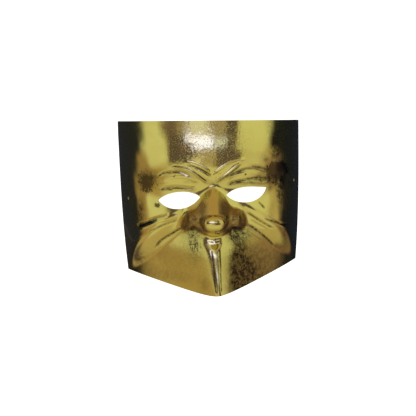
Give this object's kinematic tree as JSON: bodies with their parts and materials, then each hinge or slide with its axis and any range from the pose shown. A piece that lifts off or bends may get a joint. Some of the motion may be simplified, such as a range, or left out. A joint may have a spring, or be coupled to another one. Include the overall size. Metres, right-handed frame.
{
  "type": "bauta mask",
  "caption": "Full-face bauta mask with a frowning brow, eye holes and a prow-shaped mouth and chin, one thin moulded gold shell that lies face up.",
  "frame": {"origin": "middle of the outline, on the plane of the two side rims on which the mask lies face up", "axes": "+Z out of the face, +Y towards the forehead, +X across the face to the right of someone who looks at it"},
  "size_m": [0.1796, 0.164, 0.1071],
  "materials": {
    "gold_film": "metallised gold film, glossy and finely crinkled, on thin vacuum-formed plastic"
  },
  "bodies": {
    "root": {"mask_shell": "gold_film"}
  },
  "joints": []
}
